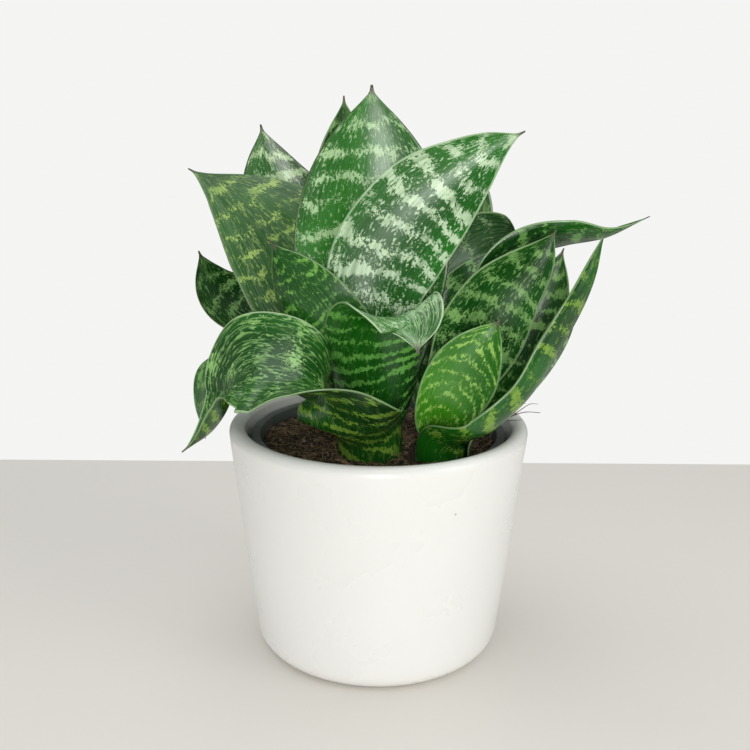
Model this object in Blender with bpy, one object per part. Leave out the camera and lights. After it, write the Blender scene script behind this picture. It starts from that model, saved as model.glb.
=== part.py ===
"""Bird's nest snake plant in a plastic nursery pot, standing inside a white glazed planter.

The origin is the centre of the planter's foot, on the table; +Z is up and -Y is the front.
The sizes below are in millimetres and angles in degrees; meshes are made in metres.
"""

import math

import bmesh
import bpy
import numpy as np
from mathutils import Matrix

MM = 0.001

# Planter: the white ceramic pot that everything stands in.
PLANTER_RADIUS = 70.0        # outside, at the widest part of the lip
PLANTER_HEIGHT = 109.0
PLANTER_FOOT_RADIUS = 58.3   # outside wall, carried on down to the table
PLANTER_WALL = 7.6
PLANTER_FLOOR = 7.0
PLANTER_FOOT_ROUND = 8.0     # radius between wall and underside
PLANTER_INSIDE_ROUND = 6.0   # radius between wall and floor, inside

# Nursery pot: thin plastic, stands on the planter's floor.
NURSERY_RIM_GAP = 1.8        # from the planter's wall to the rim
NURSERY_RIM_WIDTH = 2.8
NURSERY_RIM_DEPTH = 4.0
NURSERY_RIM_BEVEL = 0.6
NURSERY_WALL = 1.4
NURSERY_FOOT_GAP = 2.1       # from the planter's inside round to the foot
NURSERY_BELOW_LIP = 5.5      # how far its rim sits under the planter's lip
DRAIN_HOLES = 6
DRAIN_HOLE_RADIUS = 4.5
DRAIN_RING = 0.63            # radius of the ring of holes, as a share of the foot's
FOOT_RIB = 2.0               # the base is raised this much inside a standing rim
FOOT_RIB_WIDTH = 3.0

SOIL_BELOW_RIM = 4.0         # soil edge under the nursery pot's rim
SOIL_DOME = 2.0
CLEARANCE = 0.3              # between pieces that touch

# Leaves. The plant grows and shrinks with its pot: its sizes, down to POCKET_GAP and in
# OUTLINE, CROWNS and LEAVES, are those it has with a rim of this radius.
GROWN_IN_RADIUS = 60.0
LEAF_THICKNESS = 2.0         # at the midrib, where the blade is widest
LEAF_BASE_THICKNESS = 1.2
LEAF_EDGE = 0.8
RING_START = 2.6             # radius of the innermost ring of leaf bases
RING_PITCH = 1.9             # from one ring of leaf bases to the next
CROWN_DEPTH = 14.0           # how far a crown reaches into the soil
LEAF_START = 8.0             # leaves start this far under the soil surface
POCKET_GAP = 0.8             # soil stands off the leaf bases by this much

AROUND = 56                  # facets round a turned piece
ALONG = 14                   # facets along a leaf
ACROSS = 6                   # facets across a leaf

LEAF_COLOURS = {
    "main": (0.08, 0.22, 0.06),
    "right": (0.06, 0.19, 0.05),
    "back": (0.05, 0.15, 0.05),
}

# A leaf's half width along its length, as a share of its widest.
OUTLINE = (
    (0.0, 0.45), (0.2, 0.62), (0.4, 0.87), (0.6, 1.0), (0.74, 0.88),
    (0.85, 0.60), (0.92, 0.32), (0.965, 0.10), (0.98, 0.035), (1.0, 0.012),
)

# Where each crown stands: x and y of its axis.
CROWNS = {
    "main": (-4.0, -22.0),
    "right": (27.0, -22.0),
    "back": (-8.0, 24.0),
}


def leaf(name, crown, ring, heading, width, start_width, points, twist, cup, turn=None):
    """One leaf of a crown.

    ring is which ring of leaf bases it grows in, 0 being the innermost, and heading is
    the side of the crown it grows from, in degrees from +X; its upper face looks back
    at the crown's axis. width is the flattened blade at its widest and start_width the
    same at its base. points run up the midrib to the tip, measured from the crown's
    axis at soil level. At each point, twist turns the blade about its midrib and cup
    bends its two halves towards the upper face, both in degrees; a pair of cups is
    (right half, left half) as seen looking outwards. turn swings the direction that the
    upper face looks back from, in degrees from heading.
    """
    return {
        "name": name, "crown": crown, "ring": ring, "heading": heading,
        "width": width, "start_width": start_width, "points": points,
        "twist": twist, "cup": cup, "turn": turn or [0] * len(points),
    }


LEAVES = [
    leaf("leaf_main_tall", "main", 1, 95, 70, 8,
         [(0, 10, 40), (0, 16, 90), (0, 19, 130), (0, 20, 160)],
         [0, 0, 0, 0], [25, 28, 24, 15]),
    leaf("leaf_main_tilted", "main", 0, 85, 48, 6,
         [(1, 5, 40), (4, 8, 81), (19, 8, 105), (39, 8, 124), (52, 8, 134), (65, 8, 141)],
         [0, 0, 0, 0, 0, 0], [35, 25, 25, 45, 55, 60]),
    leaf("leaf_main_left", "main", 4, 140, 66, 14,
         [(-11, 18, 36), (-27, 21, 70), (-46, 26, 98), (-65, 30, 114), (-83, 32, 124)],
         [0, 0, 0, 0, 0], [(40, 20), 25, 20, 5, -10], turn=[-25, -25, -20, -10, 0]),
    leaf("leaf_main_inner", "main", 2, 240, 36, 8,
         [(-4, -5, 28), (-13, -8, 50), (-28, -6, 73), (-43, 0, 95)],
         [0, 0, 0, 0], [35, (35, 15), (30, 5), 30], turn=[15, 25, 20, 20]),
    leaf("leaf_main_front", "main", 4, 275, 56, 18,
         [(3, -15, 30), (6, -22, 52), (11, -31, 68), (17, -38, 68), (19, -43, 56)],
         [0, 5, 18, 22, 10], [(68, 66), (60, 60), (45, 20), (40, 10), 20]),
    leaf("leaf_main_arching", "main", 6, 252, 50, 54,
         [(-9, -28, 20), (-15, -34, 33), (-25, -33, 42), (-39, -28, 46), (-51, -23, 45),
          (-58, -21, 38), (-60, -22, 29), (-67, -24, 18), (-79, -27, 9)],
         [0, -12, -30, -42, -36, -15, -5, 0, 0],
         [(20, 50), (5, 40), (5, 30), 15, 25, 35, 50, 65, 70],
         turn=[0, -25, -55, -65, -65, -65, -65, -65, -65]),
    leaf("leaf_back_left", "back", 1, 135, 52, 5,
         [(-10, 14, 40), (-30, 18, 85), (-45, 19, 120), (-50, 20, 144)],
         [0, 0, 0, 0], [30, 30, 25, 20], turn=[-25, -30, -30, -30]),
    leaf("leaf_back_rear", "back", 3, 92, 44, 8,
         [(0, 21, 40), (-4, 31, 90), (-9, 32, 130), (-10, 29, 158)],
         [0, 0, 0, 0], [30, 30, 25, 20]),
    leaf("leaf_back_right", "back", 2, 10, 50, 6,
         [(16, 1, 40), (34, 4, 80), (45, 8, 110), (46, 6, 137)],
         [0, 0, 0, 0], [30, 30, 25, 20], turn=[70, 80, 80, 80]),
    leaf("leaf_back_low", "back", 3, 178, 50, 7,
         [(-24, -10, 24), (-50, -20, 51), (-68, -24, 71), (-74, -24, 88)],
         [0, -20, -40, -45], [(60, 80), (45, 50), 25, 20], turn=[5, 10, 10, 10]),
    leaf("leaf_back_drooping", "back", 4, 210, 42, 12,
         [(-22, -14, 14), (-42, -25, 28), (-58, -30, 35), (-69, -32, 31), (-73, -35, 18),
          (-72, -37, 3)],
         [0, 0, 0, 0, 0, 0], [30, 20, 15, 15, 15, 20], turn=[-5, -10, -10, -10, -10, -10]),
    leaf("leaf_right_mottled", "right", 1, 100, 42, 6,
         [(3, 1, 25), (12, 0, 47), (26, -3, 76), (41, -5, 92), (47, -5, 101)],
         [0, 0, 0, 0, 0], [35, (45, 30), (60, 35), (60, 40), 40]),
    leaf("leaf_right_long", "right", 3, 95, 32, 10,
         [(0, 18, 38), (8, 20, 60), (20, 18, 76), (36, 14, 88), (56, 10, 95), (70, 8, 97),
          (89, 6, 106)],
         [0, 0, -15, -30, -30, -20, 0], [(45, 30), (50, 50), (70, 55), (65, 50), (50, 40), 40, 30],
         turn=[-10, -40, -65, -80, -85, -85, -85]),
    leaf("leaf_right_glossy", "right", 4, 90, 42, 12,
         [(-1, 28, 42), (3, 38, 64), (16, 42, 84), (34, 41, 93), (57, 37, 91)],
         [0, 0, 0, 0, 0], [30, 30, 20, 15, 20]),
    leaf("leaf_right_dark", "right", 2, 25, 30, 4,
         [(15, 6, 20), (32, 4, 45), (46, 8, 70), (53, 7, 92)],
         [0, 0, 0, 0], [30, 35, 30, 30], turn=[35, 55, 55, 55]),
    leaf("leaf_right_wrapping", "right", 5, 280, 26, 28,
         [(19, -21, 17), (34, -21, 31), (48, -18, 53), (60, -15, 78), (66, -11, 102)],
         [0, 0, 0, 0, 0], [(40, 70), (60, 80), (65, 85), 60, 50], turn=[30, 50, 55, 55, 55]),
    leaf("leaf_right_young", "right", 0, 80, 32, 5,
         [(0, -5, 16), (9, -9, 38), (24, -11, 64)],
         [0, 0, 0], [40, 35, 30]),
    leaf("leaf_right_outer", "right", 6, 0, 30, 10,
         [(27, 11, 13), (46, 16, 29), (58, 19, 47), (64, 18, 66)],
         [0, 0, 0, 0], [50, 50, 40, 30]),
]


# ---------------------------------------------------------------- curves

def spline(knots, values, at):
    """A smooth curve through values at knots, read at the places in at."""
    knots, values, at = np.asarray(knots, float), np.asarray(values, float), np.asarray(at, float)
    flat = values.reshape(len(knots), -1)
    steps = np.diff(knots)[:, None]
    slopes = np.diff(flat, axis=0) / steps
    tangents = np.empty_like(flat)
    tangents[0], tangents[-1] = slopes[0], slopes[-1]
    before, after = steps[:-1], steps[1:]
    tangents[1:-1] = (slopes[:-1] * after + slopes[1:] * before) / (before + after)
    i = np.clip(np.searchsorted(knots, at, side="right") - 1, 0, len(knots) - 2)
    h = steps[i]
    t = ((at - knots[i])[:, None]) / h
    out = (
        flat[i] * (1 + 2 * t) * (1 - t) ** 2 + tangents[i] * h * t * (1 - t) ** 2
        + flat[i + 1] * t ** 2 * (3 - 2 * t) + tangents[i + 1] * h * t ** 2 * (t - 1)
    )
    return out.reshape((len(at),) + values.shape[1:])


def unit(vectors):
    return vectors / np.linalg.norm(vectors, axis=-1, keepdims=True)


# ---------------------------------------------------------------- levels

def slope():
    """How much the planter's wall leans out for each mm of height."""
    return (PLANTER_RADIUS - PLANTER_FOOT_RADIUS) / PLANTER_HEIGHT


def soil_level():
    return PLANTER_HEIGHT - NURSERY_BELOW_LIP - SOIL_BELOW_RIM


def plant_scale():
    return nursery_rim_radius() / GROWN_IN_RADIUS


def ring_radius(ring):
    """Radius of the midribs of the leaf bases in a ring."""
    return RING_START + ring * RING_PITCH


# ---------------------------------------------------------------- leaves

def midrib(spec):
    """The leaf's points from its base to its tip, measured from the middle of the soil's
    surface before the plant is scaled, and each one's share of the length."""
    angle = math.radians(spec["heading"])
    radius = ring_radius(spec["ring"])
    foot_x = radius * math.cos(angle)
    foot_y = radius * math.sin(angle)
    foot = [(foot_x, foot_y, height) for height in (-LEAF_START, -1.0, 4.0)]
    centre = np.array([*CROWNS[spec["crown"]], 0.0])
    path = centre + np.array(foot + list(spec["points"]), float)
    steps = np.linalg.norm(np.diff(path, axis=0), axis=1)
    return path, np.concatenate([[0.0], np.cumsum(steps)]) / steps.sum()


def leaf_frame(spec, at):
    """Midrib points, the blade's sideways and upper-face directions, half widths and
    the two cup angles, at each share of the leaf's length in at."""
    path, knots = midrib(spec)
    fine = np.linspace(0, 1, 241)
    along = spline(knots, path, fine)
    ahead = unit(np.gradient(along, axis=0))
    middle = np.stack([np.interp(at, fine, along[:, k]) for k in range(3)], axis=1)
    tangent = unit(np.stack([np.interp(at, fine, ahead[:, k]) for k in range(3)], axis=1))

    wrap = math.degrees(spec["start_width"] / 2 / ring_radius(spec["ring"]))
    cups = [c if isinstance(c, tuple) else (c, c) for c in spec["cup"]]
    cups = np.radians(np.array([(wrap, wrap)] * 3 + cups, float))
    twists = np.radians(np.array([0.0] * 3 + list(spec["twist"]), float))
    cup = spline(knots, cups, at)
    twist = spline(knots, twists, at)[:, None]
    bearings = np.radians(spec["heading"] + np.array([0.0] * 3 + list(spec["turn"]), float))
    bearing = spline(knots, bearings, at)
    left = np.stack([-np.sin(bearing), np.cos(bearing), np.zeros(len(at))], axis=1)

    across = unit(left - (tangent * left).sum(axis=1, keepdims=True) * tangent)
    face = np.cross(tangent, across)
    sideways = across * np.cos(twist) + face * np.sin(twist)
    normal = face * np.cos(twist) - across * np.sin(twist)
    shares = np.array(OUTLINE, float)
    shape = spline(shares[:, 0], shares[:, 1], at)
    fade = np.clip(1 - at / 0.5, 0, 1)
    fade = fade ** 2 * (3 - 2 * fade)
    half = spec["width"] / 2 * shape + (spec["start_width"] - spec["width"] * shape[0]) / 2 * fade
    return middle, sideways, normal, half, cup


def leaf_points(spec, at, over):
    """Points of the blade's middle layer, the upper face's normals there and the
    thickness: one row for each place in at, one column for each in over (-1 to 1)."""
    middle, sideways, normal, half, cup = leaf_frame(spec, at)
    over = np.asarray(over, float)
    bend = np.where(over[None, :] < 0, cup[:, :1], cup[:, 1:])
    bend = np.where(np.abs(bend) < 1e-3, 1e-3, bend)
    reach = half[:, None] * np.sin(over[None, :] * bend) / bend
    lift = half[:, None] * (1 - np.cos(over[None, :] * bend)) / bend
    grid = middle[:, None] + reach[..., None] * sideways[:, None] + lift[..., None] * normal[:, None]
    lean = over[None, :] * bend
    facing = np.cos(lean)[..., None] * normal[:, None] - np.sin(lean)[..., None] * sideways[:, None]
    body = 1 - np.abs(over) ** 2.5
    most = LEAF_BASE_THICKNESS + (LEAF_THICKNESS - LEAF_BASE_THICKNESS) * np.sin(np.pi * at) ** 0.7
    slim = np.clip(half / (spec["width"] * 0.25), 0.35, 1)[:, None]
    thick = (LEAF_EDGE + (most[:, None] - LEAF_EDGE) * body[None, :]) * slim
    return grid, facing, thick


def leaf_object(spec):
    """A closed solid: one loop of points round the blade at each station, bridged."""
    at = np.linspace(0, 1, ALONG + 1)
    over = np.linspace(-1, 1, ACROSS + 1)
    grid, facing, thick = leaf_points(spec, at, over)
    above = grid + facing * thick[..., None] / 2
    below = grid - facing * thick[..., None] / 2
    lift = np.array([0.0, 0.0, soil_level()])
    mesh = bmesh.new()
    loops = []
    for upper, lower in zip(above, below):
        loop = (np.concatenate([upper, lower[::-1]]) * plant_scale() + lift) * MM
        loops.append([mesh.verts.new(point) for point in loop])
    for near, far in zip(loops[:-1], loops[1:]):
        for i in range(len(near)):
            j = (i + 1) % len(near)
            mesh.faces.new((near[i], near[j], far[j], far[i]))
    mesh.faces.new(loops[0][::-1])
    mesh.faces.new(loops[-1])
    return finish(spec["name"], mesh, LEAF_COLOURS[spec["crown"]], 0.35)


# ---------------------------------------------------------------- turned pieces

def arc(centre, radius, start, end, steps=4):
    """Points (out, up) on an arc, from one angle to another in degrees."""
    angles = [math.radians(start + (end - start) * i / steps) for i in range(steps + 1)]
    return [(centre[0] + radius * math.cos(a), centre[1] + radius * math.sin(a)) for a in angles]


def turned(profile):
    """Spins a profile of (radius, height) points, which starts and ends on the axis."""
    mesh = bmesh.new()
    verts = [mesh.verts.new((r * MM, 0.0, z * MM)) for r, z in profile]
    edges = [mesh.edges.new(pair) for pair in zip(verts[:-1], verts[1:])]
    bmesh.ops.spin(
        mesh, geom=verts + edges, cent=(0, 0, 0), axis=(0, 0, 1),
        angle=math.tau, steps=AROUND, use_merge=True,
    )
    bmesh.ops.remove_doubles(mesh, verts=mesh.verts, dist=1e-6)
    return mesh


def planter():
    lean = math.degrees(math.atan(slope()))
    foot = PLANTER_FOOT_RADIUS + slope() * PLANTER_FOOT_ROUND - PLANTER_FOOT_ROUND
    lip = PLANTER_WALL / 2
    lip_out = PLANTER_RADIUS - lip
    lip_up = PLANTER_HEIGHT - lip
    inside = planter_floor_radius()
    profile = (
        [(0.0, 0.0)]
        + arc((foot, PLANTER_FOOT_ROUND), PLANTER_FOOT_ROUND, -90, -lean)
        + arc((lip_out, lip_up), lip, -lean, 180 - lean, 8)
        + arc((inside, PLANTER_FLOOR + PLANTER_INSIDE_ROUND), PLANTER_INSIDE_ROUND, -lean, -90)
        + [(0.0, PLANTER_FLOOR)]
    )
    return finish("ceramic_planter", turned(profile), (0.80, 0.80, 0.78), 0.3)


def planter_inside_radius(height):
    return PLANTER_FOOT_RADIUS + slope() * height - PLANTER_WALL


def planter_floor_radius():
    """Of the flat part of the floor."""
    round_top = PLANTER_FLOOR + PLANTER_INSIDE_ROUND
    return planter_inside_radius(round_top) - PLANTER_INSIDE_ROUND


def nursery_top():
    return PLANTER_HEIGHT - NURSERY_BELOW_LIP


def nursery_foot():
    return PLANTER_FLOOR + CLEARANCE


def nursery_rim_radius():
    return planter_inside_radius(nursery_top()) - NURSERY_RIM_GAP


def nursery_foot_radius():
    return planter_floor_radius() - NURSERY_FOOT_GAP


def nursery_wall_top():
    """Outside radius of the nursery pot's wall where it meets the rim."""
    return nursery_rim_radius() - NURSERY_RIM_WIDTH


def nursery_inside_radius(height):
    share = (height - nursery_foot()) / (nursery_top() - nursery_foot())
    outside = nursery_foot_radius() * (1 - share) + nursery_wall_top() * share
    return outside - NURSERY_WALL


def base_top():
    return nursery_foot() + FOOT_RIB + NURSERY_WALL


def nursery_pot():
    top, foot = nursery_top(), nursery_foot()
    under_rim = top - NURSERY_RIM_DEPTH
    rim, standing = nursery_rim_radius(), nursery_foot_radius()
    profile = [
        (0.0, foot + FOOT_RIB),
        (standing - FOOT_RIB_WIDTH, foot + FOOT_RIB),
        (standing - FOOT_RIB_WIDTH, foot),
        (standing, foot),
        (nursery_inside_radius(under_rim) + NURSERY_WALL, under_rim),
        (rim, under_rim),
        (rim, top - NURSERY_RIM_BEVEL),
        (rim - NURSERY_RIM_BEVEL, top),
        (nursery_inside_radius(top), top),
        (nursery_inside_radius(base_top()), base_top()),
        (0.0, base_top()),
    ]
    pot = finish("nursery_pot", turned(profile), (0.42, 0.47, 0.50), 0.5)
    holes = bmesh.new()
    for i in range(DRAIN_HOLES):
        angle = math.tau * i / DRAIN_HOLES
        place = (
            DRAIN_RING * standing * math.cos(angle) * MM,
            DRAIN_RING * standing * math.sin(angle) * MM,
            base_top() * MM,
        )
        add_cylinder(holes, DRAIN_HOLE_RADIUS, 4 * NURSERY_WALL + FOOT_RIB, place, 16)
    cut(pot, holes, "drain_holes")
    return pot


def crown_radius(crown):
    """Just wide enough to carry the crown's outermost ring of leaves."""
    outermost = max(spec["ring"] for spec in LEAVES if spec["crown"] == crown)
    return (ring_radius(outermost) + LEAF_BASE_THICKNESS / 2) * plant_scale()


def crown_centre(crown):
    x, y = CROWNS[crown]
    return x * plant_scale(), y * plant_scale()


def potting_soil():
    edge, bottom = soil_level(), base_top() + CLEARANCE
    rim = nursery_inside_radius(edge - SOIL_DOME) - CLEARANCE
    profile = [
        (0.0, bottom),
        (nursery_inside_radius(bottom) - CLEARANCE, bottom),
        (rim, edge - SOIL_DOME),
        (rim * 0.8, edge - SOIL_DOME * 0.3),
        (rim * 0.5, edge),
        (0.0, edge),
    ]
    soil = finish("potting_soil", turned(profile), (0.07, 0.045, 0.03), 0.95)
    pockets = bmesh.new()
    for crown in CROWNS:
        x, y = crown_centre(crown)
        radius = crown_radius(crown) + POCKET_GAP * plant_scale()
        depth = CROWN_DEPTH * plant_scale() + CLEARANCE
        add_cylinder(pockets, radius, 2 * depth, (x * MM, y * MM, edge * MM), 32)
    cut(soil, pockets, "crown_pockets")
    return soil


def crown_object(crown):
    """The short stem that a rosette's leaves grow from, down in the soil."""
    x, y = crown_centre(crown)
    top = soil_level() - LEAF_START * plant_scale() - CLEARANCE
    height = (CROWN_DEPTH - LEAF_START) * plant_scale() - CLEARANCE
    middle = top - height / 2
    mesh = bmesh.new()
    add_cylinder(mesh, crown_radius(crown), height, (x * MM, y * MM, middle * MM), 32)
    return finish("crown_" + crown, mesh, (0.45, 0.33, 0.16), 0.8)


# ---------------------------------------------------------------- objects

def add_cylinder(mesh, radius, height, centre, sides):
    bmesh.ops.create_cone(
        mesh, cap_ends=True, segments=sides, radius1=radius * MM, radius2=radius * MM,
        depth=height * MM, matrix=Matrix.Translation(centre),
    )


def cut(target, mesh, name):
    """Cuts mesh away from target with a Boolean that stays on it."""
    cutter = link(name, mesh)
    cutter.hide_render = True
    cutter.display_type = "WIRE"
    boolean = target.modifiers.new("Cut", "BOOLEAN")
    boolean.operation = "DIFFERENCE"
    boolean.object = cutter


def link(name, mesh):
    bmesh.ops.recalc_face_normals(mesh, faces=mesh.faces)
    data = bpy.data.meshes.new(name)
    mesh.to_mesh(data)
    mesh.free()
    made = bpy.data.objects.new(name, data)
    bpy.context.scene.collection.objects.link(made)
    return made


def finish(name, mesh, colour, roughness):
    """Makes the object, with a material of its own, standing on the plant's frame."""
    made = link(name, mesh)
    surface = bpy.data.materials.new(name)
    surface.use_nodes = True
    shader = surface.node_tree.nodes["Principled BSDF"]
    shader.inputs["Base Color"].default_value = (*colour, 1.0)
    shader.inputs["Roughness"].default_value = roughness
    shader.inputs["Metallic"].default_value = 0.0
    made.data.materials.append(surface)
    made.parent = bpy.data.objects["potted_snake_plant"]
    return made


def main():
    for old in list(bpy.data.objects):
        bpy.data.objects.remove(old, do_unlink=True)
    frame = bpy.data.objects.new("potted_snake_plant", None)
    bpy.context.scene.collection.objects.link(frame)
    planter()
    nursery_pot()
    potting_soil()
    for crown in CROWNS:
        crown_object(crown)
    for spec in LEAVES:
        leaf_object(spec)


main()
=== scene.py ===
import math

import bmesh
import bpy
import numpy as np
from mathutils import Matrix, Vector


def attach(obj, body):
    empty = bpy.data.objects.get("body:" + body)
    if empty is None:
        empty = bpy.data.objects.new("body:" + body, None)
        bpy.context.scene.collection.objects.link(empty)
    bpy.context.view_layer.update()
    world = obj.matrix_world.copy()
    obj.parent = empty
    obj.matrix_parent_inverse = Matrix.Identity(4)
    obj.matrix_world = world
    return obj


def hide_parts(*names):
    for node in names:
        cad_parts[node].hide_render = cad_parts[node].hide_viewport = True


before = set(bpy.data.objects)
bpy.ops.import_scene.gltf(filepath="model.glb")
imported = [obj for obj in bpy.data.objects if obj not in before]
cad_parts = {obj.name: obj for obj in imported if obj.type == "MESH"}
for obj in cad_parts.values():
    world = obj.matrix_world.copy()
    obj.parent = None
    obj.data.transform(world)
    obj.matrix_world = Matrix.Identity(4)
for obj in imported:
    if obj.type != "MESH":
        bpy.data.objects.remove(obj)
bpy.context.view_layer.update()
mm = 0.001


# Small helpers that every piece shares.

def addNode(tree, kind, inputs=None, **settings):
    node = tree.nodes.new(kind)
    for key, value in settings.items():
        setattr(node, key, value)
    for key, value in (inputs or {}).items():
        if isinstance(value, bpy.types.NodeSocket):
            tree.links.new(value, node.inputs[key])
        else:
            node.inputs[key].default_value = value
    return node


def compute(tree, operation, first, second=0.0):
    return addNode(tree, "ShaderNodeMath", {0: first, 1: second}, operation=operation).outputs[0]


def blendColours(tree, share, first, second, mode="MIX"):
    node = addNode(tree, "ShaderNodeMix", data_type="RGBA", blend_type=mode)
    for index, value in ((0, share), (6, first), (7, second)):
        if isinstance(value, bpy.types.NodeSocket):
            tree.links.new(value, node.inputs[index])
        elif index == 0:
            node.inputs[index].default_value = value
        else:
            node.inputs[index].default_value = (*value, 1.0)
    return node.outputs[2]


def ramp(tree, value, low, high, outLow=0.0, outHigh=1.0):
    inputs = {"Value": value, "From Min": low, "From Max": high, "To Min": outLow, "To Max": outHigh}
    node = addNode(tree, "ShaderNodeMapRange", inputs, interpolation_type="SMOOTHSTEP")
    return node.outputs["Result"]


def noiseAt(tree, place, scale=1.0, detail=2.0, roughness=0.5):
    inputs = {"Vector": place, "Scale": scale, "Detail": detail, "Roughness": roughness}
    return addNode(tree, "ShaderNodeTexNoise", inputs).outputs["Fac"]


def vector(tree, x, y, z):
    return addNode(tree, "ShaderNodeCombineXYZ", {0: x, 1: y, 2: z}).outputs[0]


def newGroup(name, inputs, outputs):
    group = bpy.data.node_groups.new(name, "ShaderNodeTree")
    kinds = {"vector": "NodeSocketVector", "number": "NodeSocketFloat", "colour": "NodeSocketColor"}
    for socketName, kind, value in inputs:
        socket = group.interface.new_socket(name=socketName, in_out="INPUT", socket_type=kinds[kind])
        if value is not None:
            socket.default_value = value
    for socketName, kind in outputs:
        group.interface.new_socket(name=socketName, in_out="OUTPUT", socket_type=kinds[kind])
    return group, group.nodes.new("NodeGroupInput").outputs, group.nodes.new("NodeGroupOutput").inputs


def useGroup(tree, group, inputs):
    node = addNode(tree, "ShaderNodeGroup")
    node.node_tree = group
    for key, value in inputs.items():
        if isinstance(value, bpy.types.NodeSocket):
            tree.links.new(value, node.inputs[key])
        else:
            node.inputs[key].default_value = value
    return node.outputs


def newMaterial(name):
    material = bpy.data.materials.new(name)
    material.use_nodes = True
    tree = material.node_tree
    return material, tree, tree.nodes["Principled BSDF"]


def bumpInto(tree, shader, height, depth, strength=1.0):
    inputs = {"Height": height, "Distance": depth, "Strength": strength}
    bump = addNode(tree, "ShaderNodeBump", inputs)
    tree.links.new(bump.outputs["Normal"], shader.inputs["Normal"])


def meshPiece(name, points, faces, materials, node=None):
    data = bpy.data.meshes.new(name)
    data.from_pydata([tuple(point) for point in points], [], [tuple(face) for face in faces])
    for material in materials:
        data.materials.append(material)
    data.shade_smooth()
    return placePiece(bpy.data.objects.new(name, data), node)


def placePiece(piece, node=None):
    bpy.context.scene.collection.objects.link(piece)
    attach(piece, "root")
    if node:
        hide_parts(node)
    return piece


def splineThrough(knots, values, at):
    knots = np.asarray(knots, float)
    values = np.asarray(values, float)
    at = np.asarray(at, float)
    flat = values.reshape(len(knots), -1)
    steps = np.diff(knots)[:, None]
    slopes = np.diff(flat, axis=0) / steps
    tangents = np.empty_like(flat)
    tangents[0] = slopes[0]
    tangents[-1] = slopes[-1]
    before = steps[:-1]
    after = steps[1:]
    tangents[1:-1] = (slopes[:-1] * after + slopes[1:] * before) / (before + after)
    i = np.clip(np.searchsorted(knots, at, side="right") - 1, 0, len(knots) - 2)
    h = steps[i]
    t = (at - knots[i])[:, None] / h
    out = flat[i] * (1 + 2 * t) * (1 - t) ** 2 + tangents[i] * h * t * (1 - t) ** 2
    out += flat[i + 1] * t ** 2 * (3 - 2 * t) + tangents[i + 1] * h * t ** 2 * (t - 1)
    return out.reshape((len(at),) + values.shape[1:])


def unitVectors(vectors):
    return vectors / np.linalg.norm(vectors, axis=-1, keepdims=True)


# Camera and light.

cameraView = {"place": (-0.0018, -0.408, 0.236), "pitch": -14.56, "roll": 0.38, "lens": 43.2,
              "sensor": 36.0, "nearest": 0.01}
lightsAimAt = (0.0, 0.0, 0.12)
lights = {  # metres and watts
    "window": {"place": (0.03, -1.5, 0.46), "size": (0.2, 0.7), "power": 9.0, "colour": (1.0, 0.99, 0.97)},
    "ceiling": {"place": (-0.25, 0.1, 1.5), "size": (1.2, 1.2), "power": 6.5, "colour": (0.98, 0.99, 1.0)},
    "room": {"place": (0.9, -0.5, 0.6), "size": (0.5, 0.9), "power": 2.2, "colour": (1.0, 0.98, 0.95)},
}
sky = {  # strengths as seen directly, as soft light and as mirrored in gloss
    "colour": (0.975, 0.98, 0.965), "seen": 0.93, "lighting": 0.55, "mirrored": 0.22,
}
tableTop = {"backEdge": 0.2375, "frontEdge": -1.6, "halfWidth": 1.6, "colour": (0.80, 0.775, 0.73),
            "rough": 0.5}


def makeCamera():
    data = bpy.data.cameras.new("camera")
    data.lens = cameraView["lens"]
    data.sensor_width = cameraView["sensor"]
    data.clip_start = cameraView["nearest"]
    camera = bpy.data.objects.new("camera", data)
    turn = Matrix.Rotation(math.radians(90 + cameraView["pitch"]), 4, "X")
    turn = turn @ Matrix.Rotation(math.radians(cameraView["roll"]), 4, "Z")
    camera.matrix_world = Matrix.Translation(cameraView["place"]) @ turn
    bpy.context.scene.collection.objects.link(camera)
    bpy.context.scene.camera = camera


def makeLights():
    for name, light in lights.items():
        data = bpy.data.lights.new(name, "AREA")
        data.shape = "RECTANGLE"
        data.size = light["size"][0]
        data.size_y = light["size"][1]
        data.energy = light["power"]
        data.color = light["colour"]
        lamp = bpy.data.objects.new(name, data)
        lamp.location = light["place"]
        aim = Vector(lightsAimAt) - lamp.location
        lamp.rotation_euler = aim.to_track_quat("-Z", "Y").to_euler()
        bpy.context.scene.collection.objects.link(lamp)


def makeSky():
    world = bpy.data.worlds.new("pale studio")
    bpy.context.scene.world = world
    world.use_nodes = True
    tree = world.node_tree
    background = tree.nodes["Background"]
    background.inputs["Color"].default_value = (*sky["colour"], 1.0)
    rays = addNode(tree, "ShaderNodeLightPath").outputs
    strength = compute(tree, "MULTIPLY", rays["Is Camera Ray"], sky["seen"] - sky["lighting"])
    dimming = compute(tree, "MULTIPLY", rays["Is Glossy Ray"], sky["mirrored"] - sky["lighting"])
    strength = compute(tree, "ADD", compute(tree, "ADD", strength, dimming), sky["lighting"])
    tree.links.new(strength, background.inputs["Strength"])


def makeFloor():
    side = tableTop["halfWidth"]
    corners = [(-side, tableTop["frontEdge"], 0.0), (side, tableTop["frontEdge"], 0.0),
               (side, tableTop["backEdge"], 0.0), (-side, tableTop["backEdge"], 0.0)]
    data = bpy.data.meshes.new("floor")
    data.from_pydata(corners, [], [(0, 1, 2, 3)])
    floor = bpy.data.objects.new("floor", data)
    bpy.context.scene.collection.objects.link(floor)
    material, _, shader = newMaterial("pale floor")
    shader.inputs["Base Color"].default_value = (*tableTop["colour"], 1.0)
    shader.inputs["Roughness"].default_value = tableTop["rough"]
    data.materials.append(material)


print("camera, lights and floor")
bpy.context.scene.view_settings.view_transform = "Standard"
makeCamera()
makeLights()
makeSky()
makeFloor()


# Planter and nursery pot: turned profiles, (radius, height) in millimetres.

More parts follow.
